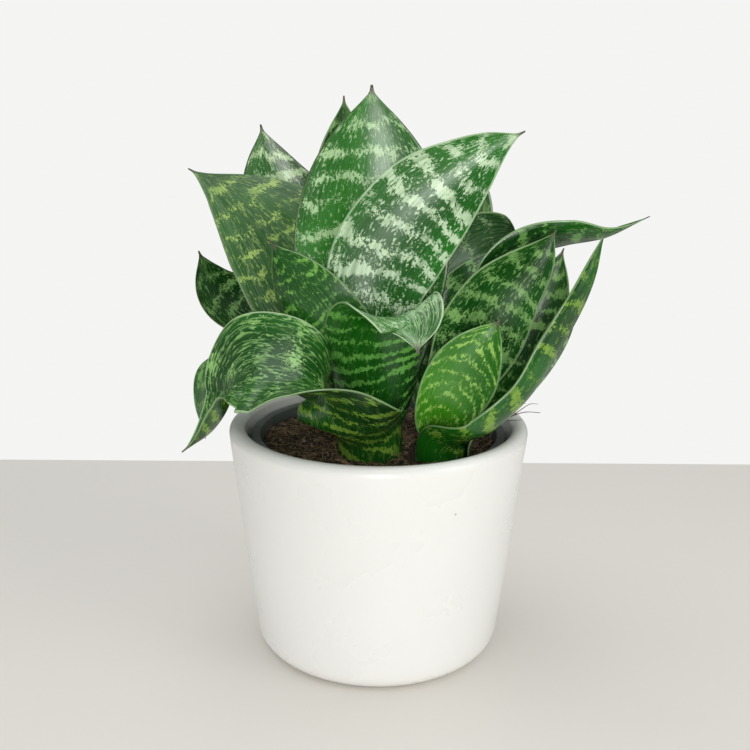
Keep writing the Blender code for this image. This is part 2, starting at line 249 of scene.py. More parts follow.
planter = {
    "radius": 70.0, "height": 109.0, "footRadius": 58.3, "wall": 7.6, "floor": 7.0,
    "footRound": 8.0, "insideRound": 6.0, "segments": 224, "swell": (0.16, 0.10),
    "glaze": (0.85, 0.855, 0.835), "pooled": (0.87, 0.875, 0.86), "clouded": (0.76, 0.75, 0.72),
    "footShadeColour": (0.80, 0.77, 0.70), "speck": (0.10, 0.09, 0.08), "rough": (0.24, 0.36),
    "coat": 0.25, "coatRough": 0.18,
}
nursery = {
    "rimGap": 1.8, "rimWidth": 2.8, "rimDepth": 4.0, "rimRound": 0.9, "wall": 1.4, "footGap": 2.1,
    "belowLip": 5.5, "footRib": 2.0, "footRibWidth": 3.0, "holes": 6, "holeRadius": 4.5,
    "holeRing": 0.63, "segments": 176, "colour": (0.055, 0.075, 0.068),
    "worn": (0.09, 0.11, 0.10), "dust": (0.16, 0.12, 0.08), "rough": (0.38, 0.6),
}
gap = 0.3  # between pieces that stand in one another


def arcPoints(centre, radius, start, end, steps=8):
    angles = np.radians(np.linspace(start, end, steps + 1))
    return [(centre[0] + radius * math.cos(a), centre[1] + radius * math.sin(a)) for a in angles]


def turnedData(name, profile, segments):
    mesh = bmesh.new()
    verts = [mesh.verts.new((r * mm, 0.0, z * mm)) for r, z in profile]
    edges = [mesh.edges.new(pair) for pair in zip(verts[:-1], verts[1:])]
    bmesh.ops.spin(mesh, geom=verts + edges, cent=(0, 0, 0), axis=(0, 0, 1), angle=math.tau,
                   steps=segments, use_merge=True)
    bmesh.ops.remove_doubles(mesh, verts=mesh.verts, dist=1e-6)
    bmesh.ops.recalc_face_normals(mesh, faces=mesh.faces)
    data = bpy.data.meshes.new(name)
    mesh.to_mesh(data)
    mesh.free()
    data.shade_smooth()
    return data


def wallSlope():
    return (planter["radius"] - planter["footRadius"]) / planter["height"]


def planterInside(height):
    return planter["footRadius"] + wallSlope() * height - planter["wall"]


def planterFloorRadius():
    return planterInside(planter["floor"] + planter["insideRound"]) - planter["insideRound"]


def between(start, end, steps):
    return [(start[0] + (end[0] - start[0]) * t, start[1] + (end[1] - start[1]) * t)
            for t in np.linspace(0, 1, steps)[1:-1]]


def makePlanter():
    p = planter
    lean = math.degrees(math.atan(wallSlope()))
    foot = p["footRadius"] + wallSlope() * p["footRound"] - p["footRound"]
    lip = p["wall"] / 2
    inside = planterFloorRadius()
    outer = arcPoints((foot, p["footRound"]), p["footRound"], -90, -lean, 12)
    rim = arcPoints((p["radius"] - lip, p["height"] - lip), lip, -lean, 180 - lean, 20)
    inner = arcPoints((inside, p["floor"] + p["insideRound"]), p["insideRound"], -lean, -90, 8)
    wall = between(outer[-1], rim[0], 26)
    inWall = between(rim[-1], inner[0], 16)
    flat = [(r, 0.0) for r in np.linspace(0, foot, 8)[:-1]]
    base = [(r, p["floor"]) for r in np.linspace(inside, 0, 8)[1:]]
    profile = flat + outer + wall + rim + inWall + inner + base
    data = turnedData("planter", profile, p["segments"])
    swellWall(data)
    data.materials.append(glazeMaterial())
    placePiece(bpy.data.objects.new("white_planter", data), "ceramic_planter")


def swellWall(data):  # a slip-cast wall swells and sinks by a hair
    slow, quick = planter["swell"]
    for vertex in data.vertices:
        x, y, z = vertex.co
        angle = math.atan2(y, x)
        aboveFoot = min(1.0, z / mm / 20.0)
        belowLip = min(1.0, (planter["height"] - z / mm) / 12.0)
        swell = slow * math.sin(3 * angle + z * 60) + quick * math.sin(5 * angle - z * 95)
        radius = math.hypot(x, y)
        if radius > 0.5 * planter["footRadius"] * mm:
            share = 1 + swell * max(0.0, aboveFoot) * max(0.0, belowLip) * mm / radius
            vertex.co = (x * share, y * share, z)


def glazeMaterial():
    material, tree, shader = newMaterial("white satin glaze")
    place = addNode(tree, "ShaderNodeTexCoord").outputs["Object"]
    cloud = noiseAt(tree, place, 34.0, 4.0)
    pool = noiseAt(tree, place, 9.0, 2.0)
    tint = blendColours(tree, ramp(tree, pool, 0.3, 0.7), planter["glaze"], planter["pooled"])
    tint = blendColours(tree, compute(tree, "MULTIPLY", cloud, 0.10), tint, planter["clouded"])
    split = addNode(tree, "ShaderNodeSeparateXYZ", {0: place}).outputs
    # painted shade: the glaze is darkened and warmed over its lowest 12 mm, where it meets the floor
    footShade = ramp(tree, split[2], 0.0, 0.012, 0.30, 0.0)
    tint = blendColours(tree, footShade, tint, planter["footShadeColour"])
    cells = addNode(tree, "ShaderNodeTexVoronoi", {"Vector": place, "Scale": 62.0, "Randomness": 1.0})
    dots = ramp(tree, cells.outputs["Distance"], 0.022, 0.05, 1.0, 0.0)
    rare = addNode(tree, "ShaderNodeSeparateColor", {0: cells.outputs["Color"]}).outputs[0]
    dots = compute(tree, "MULTIPLY", dots, ramp(tree, rare, 0.90, 0.92))
    tint = blendColours(tree, compute(tree, "MULTIPLY", dots, 0.8), tint, planter["speck"])
    tree.links.new(tint, shader.inputs["Base Color"])
    tree.links.new(ramp(tree, cloud, 0.3, 0.7, *planter["rough"]), shader.inputs["Roughness"])
    shader.inputs["Coat Weight"].default_value = planter["coat"]
    shader.inputs["Coat Roughness"].default_value = planter["coatRough"]
    peel = noiseAt(tree, place, 420.0, 2.0)
    waves = compute(tree, "ADD", compute(tree, "MULTIPLY", peel, 0.4), noiseAt(tree, place, 60.0, 1.0))
    bumpInto(tree, shader, waves, 0.00012, 0.5)
    return material


def makeNurseryPot():
    n = nursery
    top = planter["height"] - n["belowLip"]
    foot = planter["floor"] + gap
    rim = planterInside(top) - n["rimGap"]
    wallTop = rim - n["rimWidth"]
    standing = planterFloorRadius() - n["footGap"]
    baseTop = foot + n["footRib"] + n["wall"]

    def outsideAt(height):
        share = (height - foot) / (top - foot)
        return standing * (1 - share) + wallTop * share

    under = top - n["rimDepth"]
    curl = n["rimRound"]
    walls = [outsideAt(h) for h in np.linspace(foot, under, 12)]
    inner = [(outsideAt(h) - n["wall"], h) for h in np.linspace(top - 0.5, baseTop, 14)]
    profile = [(0.0, foot + n["footRib"]), (standing - n["footRibWidth"], foot + n["footRib"]),
               (standing - n["footRibWidth"], foot)]
    profile += list(zip(walls, np.linspace(foot, under, 12)))
    profile += [(rim - 0.3, under), (rim, under + 0.3)]
    profile += arcPoints((rim - curl, top - curl), curl, 0, 90, 5)
    profile += [(inner[0][0] + 0.5, top)] + inner + [(0.0, baseTop)]
    data = turnedData("nursery pot", profile, n["segments"])
    data.materials.append(nurseryPlastic())
    pot = placePiece(bpy.data.objects.new("nursery_pot_inside", data), "nursery_pot")
    drill = bmesh.new()
    for i in range(n["holes"]):
        angle = math.tau * i / n["holes"]
        ring = n["holeRing"] * standing * mm
        spot = Matrix.Translation((ring * math.cos(angle), ring * math.sin(angle), baseTop * mm))
        bmesh.ops.create_cone(drill, cap_ends=True, segments=32, radius1=n["holeRadius"] * mm,
                              radius2=n["holeRadius"] * mm, depth=0.012, matrix=spot)
    cutPiece(pot, drill, "drain holes")


def cutPiece(piece, cutter, name):
    data = bpy.data.meshes.new(name)
    cutter.to_mesh(data)
    cutter.free()
    tool = bpy.data.objects.new(name, data)
    bpy.context.scene.collection.objects.link(tool)
    modifier = piece.modifiers.new(name, "BOOLEAN")
    modifier.operation = "DIFFERENCE"
    modifier.object = tool
    graph = bpy.context.evaluated_depsgraph_get()
    cut = bpy.data.meshes.new_from_object(piece.evaluated_get(graph))
    piece.modifiers.clear()
    piece.data = cut
    bpy.data.objects.remove(tool)


def nurseryPlastic():
    material, tree, shader = newMaterial("dark nursery plastic")
    place = addNode(tree, "ShaderNodeTexCoord").outputs["Object"]
    dust = noiseAt(tree, place, 90.0, 4.0)
    film = noiseAt(tree, place, 18.0, 3.0)
    tint = blendColours(tree, ramp(tree, film, 0.35, 0.7), nursery["colour"], nursery["worn"])
    tint = blendColours(tree, ramp(tree, dust, 0.58, 0.75, 0.0, 0.5), tint, nursery["dust"])
    tree.links.new(tint, shader.inputs["Base Color"])
    tree.links.new(ramp(tree, dust, 0.3, 0.7, *nursery["rough"]), shader.inputs["Roughness"])
    bumpInto(tree, shader, noiseAt(tree, place, 600.0, 2.0), 0.00012, 0.5)
    return material


# Leaf skin: ragged pale cross bands on dark green under a painted sheen, drawn in millimetres of blade.

bandGrain = {  # scale across the blade and along it, layer of noise, detail
    "wander": (0.05, 0.03, 0.0, 2.0), "comb": (0.45, 0.05, 3.1, 3.0), "teeth": (1.3, 0.16, 6.7, 2.0),
    "fray": (0.85, 0.62, 25.3, 3.0), "curls": (0.34, 0.60, 31.7, 1.0), "rills": (0.34, 0.055, 37.9, 3.0),
    "patches": (0.085, 0.10, 9.3, 2.0), "flecks": (0.75, 0.33, 12.9, 1.0),
    "broad": (0.03, 0.02, 15.1, 1.0), "streak": (1.6, 0.02, 21.0, 3.0),
}
bandSwing = {"wander": 16.0, "fringe": 3.0, "teeth": 0.8, "wave": 0.34, "patches": 1.5, "fray": 1.7}


def makeBandGroup():
    group, given, out = newGroup(
        "cross bands",
        [("Place", "vector", None), ("Spacing", "number", 12.0), ("Ragged", "number", 3.0),
         ("Slant", "number", 0.0), ("Arch", "number", 0.0), ("Amount", "number", 0.0),
         ("Fleck", "number", 0.5), ("Veined", "number", 0.0)],
        [("Pale", "number"), ("Tone", "number"), ("Streak", "number")])
    split = addNode(group, "ShaderNodeSeparateXYZ", {0: given["Place"]}).outputs

    def grainOf(name):
        acrossScale, alongScale, layer, detail = bandGrain[name]
        x = compute(group, "MULTIPLY", split[0], acrossScale)
        y = compute(group, "MULTIPLY", split[1], alongScale)
        z = compute(group, "ADD", split[2], layer)
        return noiseAt(group, vector(group, x, y, z), detail=detail, roughness=0.55)

    def swingOf(name):  # the grain on either side of nought
        return compute(group, "MULTIPLY", compute(group, "SUBTRACT", grainOf(name), 0.5), bandSwing[name])

    def linesOf(name, thin, wide):  # fine lines where the grain passes its middle
        away = compute(group, "ABSOLUTE", compute(group, "SUBTRACT", grainOf(name), 0.5))
        return ramp(group, away, thin, wide, 1.0, 0.0)

    comb = grainOf("comb")
    fringe = compute(group, "ADD", compute(group, "SUBTRACT", comb, 0.5), swingOf("teeth"))
    ragged = compute(group, "MULTIPLY", given["Ragged"], bandSwing["fringe"])
    fringe = compute(group, "MULTIPLY", fringe, ragged)
    lean = compute(group, "MULTIPLY", split[0], given["Slant"])
    square = compute(group, "MULTIPLY", split[0], split[0])
    arch = compute(group, "MULTIPLY", square, given["Arch"])
    height = compute(group, "ADD", split[1], compute(group, "ADD", swingOf("wander"), fringe))
    height = compute(group, "ADD", height, compute(group, "ADD", lean, arch))
    phase = compute(group, "MULTIPLY", compute(group, "DIVIDE", height, given["Spacing"]), math.tau)
    wave = compute(group, "MULTIPLY", compute(group, "SINE", phase), bandSwing["wave"])
    level = compute(group, "ADD", wave, swingOf("patches"))
    level = compute(group, "ADD", level, compute(group, "ADD", swingOf("fray"), given["Amount"]))
    bands = ramp(group, level, 0.22, 0.32)
    curls = linesOf("curls", 0.008, 0.035)
    curls = compute(group, "MULTIPLY", curls, ramp(group, level, -0.2, 0.15))
    spots = compute(group, "MAXIMUM", ramp(group, grainOf("flecks"), 0.60, 0.67), curls)
    pale = compute(group, "MAXIMUM", bands, compute(group, "MULTIPLY", spots, given["Fleck"]))
    rills = compute(group, "MULTIPLY", linesOf("rills", 0.004, 0.030), given["Veined"])
    pale = compute(group, "MAXIMUM", pale, rills)
    thinning = ramp(group, comb, 0.32, 0.58, 0.55, 1.0)
    group.links.new(compute(group, "MULTIPLY", pale, thinning), out["Pale"])
    group.links.new(grainOf("broad"), out["Tone"])
    group.links.new(grainOf("streak"), out["Streak"])
    return group


leafLook = {  # what a leaf face has unless its own look below says otherwise
    "dark": (0.010, 0.11, 0.004), "deep": (0.003, 0.055, 0.002), "pale": (0.28, 0.52, 0.18),
    "edge": (0.20, 0.33, 0.14), "tip": (0.07, 0.055, 0.035), "spacing": 11.0, "ragged": 1.3,
    "slant": 0.0, "arch": 0.0, "amount": 0.0, "fleck": 0.5, "veined": 0.0, "rough": 0.22, "paintedSheen": 0.03,
}
# painted sheen: a greyish green haze of reflected light, mixed into the leaf colour by each look's share
paintedSheenColour = (0.42, 0.55, 0.43)

leafLooks = {  # upper face and lower face of each leaf
    "leaf_main_tall": (
        {"dark": (0.024, 0.19, 0.012), "deep": (0.012, 0.12, 0.006), "pale": (0.42, 0.64, 0.33),
         "edge": (0.07, 0.10, 0.04), "spacing": 11.5, "amount": -0.05, "fleck": 0.7, "paintedSheen": 0.05,
         "rough": 0.2},
        {}),
    "leaf_main_tilted": (
        {"dark": (0.012, 0.17, 0.006), "deep": (0.006, 0.10, 0.003), "pale": (0.60, 0.79, 0.52),
         "edge": (0.34, 0.52, 0.28), "spacing": 12.0, "amount": 0.04, "fleck": 0.8, "rough": 0.24},
        {}),
    "leaf_main_left": (
        {"dark": (0.028, 0.135, 0.012), "deep": (0.014, 0.085, 0.008), "pale": (0.36, 0.54, 0.14),
         "edge": (0.14, 0.24, 0.09), "paintedSheen": 0.16, "amount": -0.10, "rough": 0.34},
        {"dark": (0.010, 0.08, 0.004), "pale": (0.30, 0.48, 0.08)}),
    "leaf_main_inner": (
        {"dark": (0.008, 0.15, 0.002), "deep": (0.003, 0.075, 0.001), "pale": (0.18, 0.42, 0.08),
         "spacing": 5.5, "ragged": 0.5, "arch": 0.02, "amount": -0.16, "edge": (0.34, 0.52, 0.26)},
        {"dark": (0.005, 0.085, 0.002), "pale": (0.16, 0.40, 0.07), "spacing": 5.0, "ragged": 0.5,
         "amount": -0.12}),
    "leaf_main_front": (
        {"dark": (0.025, 0.17, 0.010), "deep": (0.012, 0.09, 0.006), "pale": (0.48, 0.70, 0.40),
         "spacing": 14.0, "ragged": 2.0, "amount": -0.12, "fleck": 0.7, "veined": 0.6, "paintedSheen": 0.12,
         "edge": (0.45, 0.64, 0.38)},
        {"dark": (0.005, 0.095, 0.001), "deep": (0.001, 0.035, 0.001), "pale": (0.13, 0.38, 0.07),
         "spacing": 6.5, "ragged": 0.7, "slant": -0.25, "amount": -0.02, "fleck": 0.3}),
    "leaf_main_arching": (
        {"dark": (0.014, 0.13, 0.006), "deep": (0.005, 0.065, 0.003), "pale": (0.30, 0.56, 0.18),
         "edge": (0.36, 0.54, 0.28), "spacing": 14.0, "ragged": 2.2, "amount": -0.22, "fleck": 0.7,
         "veined": 0.55},
        {"dark": (0.004, 0.075, 0.001), "deep": (0.001, 0.030, 0.001), "pale": (0.17, 0.31, 0.04),
         "spacing": 8.0, "ragged": 0.7, "slant": 0.42, "amount": 0.02, "fleck": 0.3}),
    "leaf_back_left": (
        {"dark": (0.030, 0.16, 0.020), "deep": (0.010, 0.075, 0.006), "pale": (0.52, 0.72, 0.40),
         "edge": (0.04, 0.06, 0.02), "spacing": 12.0, "amount": 0.06, "fleck": 0.7, "paintedSheen": 0.08}, {}),
    "leaf_back_rear": ({"dark": (0.05, 0.20, 0.012)}, {}),
    "leaf_back_right": (
        {"dark": (0.030, 0.12, 0.018), "deep": (0.014, 0.07, 0.008), "pale": (0.20, 0.37, 0.13),
         "paintedSheen": 0.12}, {}),
    "leaf_back_low": (
        {"dark": (0.005, 0.085, 0.002), "deep": (0.001, 0.045, 0.001), "pale": (0.26, 0.50, 0.16),
         "edge": (0.02, 0.03, 0.01), "spacing": 9.0, "amount": -0.06, "fleck": 0.8, "rough": 0.2},
        {"dark": (0.004, 0.065, 0.002), "pale": (0.22, 0.44, 0.15), "rough": 0.2}),
    "leaf_back_drooping": (
        {"dark": (0.016, 0.17, 0.005), "deep": (0.006, 0.09, 0.003), "pale": (0.18, 0.42, 0.10)},
        {"dark": (0.012, 0.15, 0.004), "deep": (0.004, 0.08, 0.002), "pale": (0.16, 0.40, 0.08)}),
    "leaf_right_mottled": (
        {"dark": (0.004, 0.095, 0.002), "deep": (0.001, 0.045, 0.001), "pale": (0.22, 0.44, 0.13),
         "spacing": 10.0, "amount": 0.04, "fleck": 0.8, "rough": 0.24}, {}),
    "leaf_right_long": (
        {"dark": (0.008, 0.11, 0.003), "pale": (0.24, 0.48, 0.15)},
        {"dark": (0.004, 0.095, 0.002), "deep": (0.001, 0.040, 0.001), "pale": (0.16, 0.38, 0.09),
         "edge": (0.26, 0.44, 0.20), "amount": -0.06, "rough": 0.22}),
    "leaf_right_glossy": (
        {"dark": (0.030, 0.15, 0.018), "deep": (0.014, 0.09, 0.009), "pale": (0.30, 0.48, 0.24),
         "paintedSheen": 0.16, "amount": -0.10, "rough": 0.3},
        {"dark": (0.026, 0.13, 0.014), "paintedSheen": 0.14}),
    "leaf_right_dark": (
        {"dark": (0.004, 0.075, 0.002), "deep": (0.001, 0.030, 0.001), "pale": (0.18, 0.38, 0.10),
         "spacing": 8.0, "slant": 0.3}, {}),
    "leaf_right_wrapping": (
        {"dark": (0.004, 0.10, 0.002), "deep": (0.001, 0.045, 0.001), "pale": (0.38, 0.66, 0.24),
         "spacing": 12.0, "amount": 0.06, "fleck": 0.8, "edge": (0.30, 0.48, 0.22)},
        {"dark": (0.005, 0.12, 0.002), "deep": (0.001, 0.055, 0.001), "pale": (0.18, 0.34, 0.04),
         "spacing": 12.0, "slant": 0.3, "amount": -0.02, "fleck": 0.4, "rough": 0.2}),
    "leaf_right_young": (
        {"dark": (0.045, 0.25, 0.003), "deep": (0.016, 0.15, 0.002), "pale": (0.34, 0.62, 0.12),
         "spacing": 6.5, "arch": 0.05, "amount": -0.06, "edge": (0.20, 0.38, 0.14), "rough": 0.22}, {}),
    "leaf_right_outer": (
        {"dark": (0.005, 0.10, 0.002)}, {"dark": (0.005, 0.10, 0.002)}),
}


def leafSkin(name, look, bandGroup):
    look = {**leafLook, **look}
    material, tree, shader = newMaterial(name)
    place = addNode(tree, "ShaderNodeAttribute", attribute_name="bladePlace").outputs["Vector"]
    edges = addNode(tree, "ShaderNodeAttribute", attribute_name="bladeEdges").outputs["Vector"]
    edges = addNode(tree, "ShaderNodeSeparateXYZ", {0: edges}).outputs
    bands = useGroup(tree, bandGroup, {
        "Place": place, "Spacing": look["spacing"], "Ragged": look["ragged"], "Slant": look["slant"],
        "Arch": look["arch"], "Amount": look["amount"], "Fleck": look["fleck"],
        "Veined": look["veined"]})
    colour = blendColours(tree, ramp(tree, bands["Tone"], 0.35, 0.65), look["deep"], look["dark"])
    # painted sheen: greyish green laid over the leaf colour where the streak grain is high
    paintedSheenShare = compute(tree, "MULTIPLY", ramp(tree, bands["Streak"], 0.3, 0.7), look["paintedSheen"])
    colour = blendColours(tree, paintedSheenShare, colour, paintedSheenColour)
    colour = blendColours(tree, bands["Pale"], colour, look["pale"])
    veins = ramp(tree, bands["Streak"], 0.25, 0.75, 0.92, 1.05)
    colour = blendColours(tree, 1.0, colour, vector(tree, veins, veins, veins), "MULTIPLY")
    rim = ramp(tree, edges[0], 0.15, 0.5, 1.0, 0.0)
    colour = blendColours(tree, compute(tree, "MULTIPLY", rim, 0.85), colour, look["edge"])
    spike = ramp(tree, edges[1], 1.5, 5.0, 1.0, 0.0)
    colour = blendColours(tree, compute(tree, "MULTIPLY", spike, 0.9), colour, look["tip"])
    tree.links.new(colour, shader.inputs["Base Color"])
    gloss = ramp(tree, bands["Streak"], 0.2, 0.8, look["rough"] - 0.05, look["rough"] + 0.09)
    tree.links.new(gloss, shader.inputs["Roughness"])
    relief = compute(tree, "MULTIPLY", bands["Pale"], 0.25)
    relief = compute(tree, "ADD", relief, bands["Streak"])
    bumpInto(tree, shader, relief, 0.00009, 0.5)
    return material


# Leaf shapes. Rosettes stand on crowns; each leaf's midrib, twist and cup match the frame's.

plant = {
    "soilHeight": planter["height"] - nursery["belowLip"] - 4.0,  # 4 below the nursery pot's rim
    "leafStart": 8.0, "thickness": 2.0, "baseThickness": 1.2, "edgeThickness": 0.8,
    "ringStart": 2.6, "ringPitch": 1.9, "stations": 132, "acrossSteps": 30,
    "ripple": 0.45, "rippleLength": 6.0, "skinStep": 4.3,
    "outline": ((0.0, 0.45), (0.2, 0.62), (0.4, 0.87), (0.6, 1.0), (0.74, 0.88), (0.85, 0.60),
                (0.92, 0.32), (0.965, 0.10), (0.98, 0.035), (1.0, 0.012)),
    "crowns": {"main": (-4.0, -22.0), "right": (27.0, -22.0), "back": (-8.0, 24.0)},
}


def leaf(name, crown, ring, heading, width, startWidth, points, twist, cup, turn=None):
    return {"name": name, "crown": crown, "ring": ring, "heading": heading, "width": width,
            "startWidth": startWidth, "points": points, "twist": twist, "cup": cup,
            "turn": turn or [0] * len(points)}


# crown, ring, heading in degrees, width and width at the base, then the midrib's points to the
# tip; twist, cup and turn are in degrees at those points, and a pair of cups is (right, left)
leafShapes = [
    leaf("leaf_main_tall", "main", 1, 95, 70, 8,
         [(0, 10, 40), (0, 16, 90), (0, 19, 130), (0, 20, 160)],
         [0, 0, 0, 0], [25, 28, 24, 15]),
    leaf("leaf_main_tilted", "main", 0, 85, 48, 6,
         [(1, 5, 40), (4, 8, 81), (19, 8, 105), (39, 8, 124), (52, 8, 134), (65, 8, 141)],
         [0, 0, 0, 0, 0, 0], [35, 25, 25, 45, 55, 60]),
    leaf("leaf_main_left", "main", 4, 140, 66, 14,
         [(-11, 18, 36), (-27, 21, 70), (-46, 26, 98), (-65, 30, 114), (-83, 32, 124)],
         [0, 0, 0, 0, 0], [(40, 20), 25, 20, 5, -10], turn=[-25, -25, -20, -10, 0]),
    leaf("leaf_main_inner", "main", 2, 240, 36, 8,
         [(-4, -5, 28), (-13, -8, 50), (-28, -6, 73), (-43, 0, 95)],
         [0, 0, 0, 0], [35, (35, 15), (30, 5), 30], turn=[15, 25, 20, 20]),
    leaf("leaf_main_front", "main", 4, 275, 56, 18,
         [(3, -15, 30), (6, -22, 52), (11, -31, 68), (17, -38, 68), (19, -43, 56)],
         [0, 5, 18, 22, 10], [(68, 66), (60, 60), (45, 20), (40, 10), 20]),
    leaf("leaf_main_arching", "main", 6, 252, 50, 54,
         [(-9, -28, 20), (-15, -34, 33), (-25, -33, 42), (-39, -28, 46), (-51, -23, 45),
          (-58, -21, 38), (-60, -22, 29), (-67, -24, 18), (-79, -27, 9)],
         [0, -12, -30, -42, -36, -15, -5, 0, 0],
         [(20, 50), (5, 40), (5, 30), 15, 25, 35, 50, 65, 70],
         turn=[0, -25, -55, -65, -65, -65, -65, -65, -65]),
    leaf("leaf_back_left", "back", 1, 135, 52, 5,
         [(-10, 14, 40), (-30, 18, 85), (-45, 19, 120), (-50, 20, 144)],
         [0, 0, 0, 0], [30, 30, 25, 20], turn=[-25, -30, -30, -30]),
    leaf("leaf_back_rear", "back", 3, 92, 44, 8,
         [(0, 21, 40), (-4, 31, 90), (-9, 32, 130), (-10, 29, 158)],
         [0, 0, 0, 0], [30, 30, 25, 20]),
    leaf("leaf_back_right", "back", 2, 10, 50, 6,
         [(16, 1, 40), (34, 4, 80), (45, 8, 110), (46, 6, 137)],
         [0, 0, 0, 0], [30, 30, 25, 20], turn=[70, 80, 80, 80]),
    leaf("leaf_back_low", "back", 3, 178, 50, 7,
         [(-24, -10, 24), (-50, -20, 51), (-68, -24, 71), (-74, -24, 88)],
         [0, -20, -40, -45], [(60, 80), (45, 50), 25, 20], turn=[5, 10, 10, 10]),
    leaf("leaf_back_drooping", "back", 4, 210, 42, 12,
         [(-22, -14, 14), (-42, -25, 28), (-58, -30, 35), (-69, -32, 31), (-73, -35, 18),
          (-72, -37, 3)],
         [0, 0, 0, 0, 0, 0], [30, 20, 15, 15, 15, 20], turn=[-5, -10, -10, -10, -10, -10]),
    leaf("leaf_right_mottled", "right", 1, 100, 42, 6,
         [(3, 1, 25), (12, 0, 47), (26, -3, 76), (41, -5, 92), (47, -5, 101)],
         [0, 0, 0, 0, 0], [35, (45, 30), (60, 35), (60, 40), 40]),
    leaf("leaf_right_long", "right", 3, 95, 32, 10,
         [(0, 18, 38), (8, 20, 60), (20, 18, 76), (36, 14, 88), (56, 10, 95), (70, 8, 97),
          (89, 6, 106)],
         [0, 0, -15, -30, -30, -20, 0], [(45, 30), (50, 50), (70, 55), (65, 50), (50, 40), 40, 30],
         turn=[-10, -40, -65, -80, -85, -85, -85]),
    leaf("leaf_right_glossy", "right", 4, 90, 42, 12,
         [(-1, 28, 42), (3, 38, 64), (16, 42, 84), (34, 41, 93), (57, 37, 91)],
         [0, 0, 0, 0, 0], [30, 30, 20, 15, 20]),
    leaf("leaf_right_dark", "right", 2, 25, 30, 4,
         [(15, 6, 20), (32, 4, 45), (46, 8, 70), (53, 7, 92)],
         [0, 0, 0, 0], [30, 35, 30, 30], turn=[35, 55, 55, 55]),
    leaf("leaf_right_wrapping", "right", 5, 280, 26, 28,
         [(19, -21, 17), (34, -21, 31), (48, -18, 53), (60, -15, 78), (66, -11, 102)],
         [0, 0, 0, 0, 0], [(40, 70), (60, 80), (65, 85), 60, 50], turn=[30, 50, 55, 55, 55]),
    leaf("leaf_right_young", "right", 0, 80, 32, 5,
         [(0, -5, 16), (9, -9, 38), (24, -11, 64)],
         [0, 0, 0], [40, 35, 30]),
    leaf("leaf_right_outer", "right", 6, 0, 30, 10,
         [(27, 11, 13), (46, 16, 29), (58, 19, 47), (64, 18, 66)],
         [0, 0, 0, 0], [50, 50, 40, 30]),
]


def midribOf(spec):
    angle = math.radians(spec["heading"])
    radius = plant["ringStart"] + spec["ring"] * plant["ringPitch"]
    foot = [(radius * math.cos(angle), radius * math.sin(angle), z) for z in (-plant["leafStart"], -1, 4)]
    centre = np.array([*plant["crowns"][spec["crown"]], plant["soilHeight"]])
    path = centre + np.array(foot + list(spec["points"]), float)
    steps = np.linalg.norm(np.diff(path, axis=0), axis=1)
    return path, np.concatenate([[0.0], np.cumsum(steps)]) / steps.sum(), steps.sum(), radius


def bladeOf(spec, at, over):
    path, knots, length, radius = midribOf(spec)
    fine = np.linspace(0, 1, 601)
    along = splineThrough(knots, path, fine)
    ahead = unitVectors(np.gradient(along, axis=0))
    middle = np.stack([np.interp(at, fine, along[:, k]) for k in range(3)], axis=1)
    tangent = unitVectors(np.stack([np.interp(at, fine, ahead[:, k]) for k in range(3)], axis=1))
    wrap = math.degrees(spec["startWidth"] / 2 / radius)
    cups = [(wrap, wrap)] * 3 + [c if isinstance(c, tuple) else (c, c) for c in spec["cup"]]
    cup = splineThrough(knots, np.radians(np.array(cups, float)), at)
    twist = splineThrough(knots, np.radians([0.0] * 3 + list(spec["twist"])), at)[:, None]
    bearings = spec["heading"] + np.array([0.0] * 3 + list(spec["turn"]))
    bearing = splineThrough(knots, np.radians(bearings), at)
    left = np.stack([-np.sin(bearing), np.cos(bearing), np.zeros(len(at))], axis=1)
    across = unitVectors(left - (tangent * left).sum(axis=1, keepdims=True) * tangent)
    face = np.cross(tangent, across)
    sideways = across * np.cos(twist) + face * np.sin(twist)
    normal = face * np.cos(twist) - across * np.sin(twist)
    shares = np.array(plant["outline"])
    shape = splineThrough(shares[:, 0], shares[:, 1], at)
    fade = np.clip(1 - at / 0.5, 0, 1)
    fade = fade ** 2 * (3 - 2 * fade)
    half = spec["width"] / 2 * shape + (spec["startWidth"] - spec["width"] * shape[0]) / 2 * fade
    bend = np.where(over[None, :] < 0, cup[:, :1], cup[:, 1:])
    bend = np.where(np.abs(bend) < 1e-3, 1e-3, bend)
    lean = over[None, :] * bend
    reach = half[:, None] * np.sin(lean) / bend
    lift = half[:, None] * (1 - np.cos(lean)) / bend
    grid = middle[:, None] + reach[..., None] * sideways[:, None] + lift[..., None] * normal[:, None]
    facing = np.cos(lean)[..., None] * normal[:, None] - np.sin(lean)[..., None] * sideways[:, None]
    body = 1 - np.abs(over) ** 2.5
    swelling = plant["thickness"] - plant["baseThickness"]
    most = plant["baseThickness"] + swelling * np.sin(np.pi * at) ** 0.7
    slim = np.clip(half / (spec["width"] * 0.25), 0.35, 1)[:, None]
    edge = plant["edgeThickness"]
    thick = (edge + (most[:, None] - edge) * body[None, :]) * slim
    return grid, facing, thick, half, length


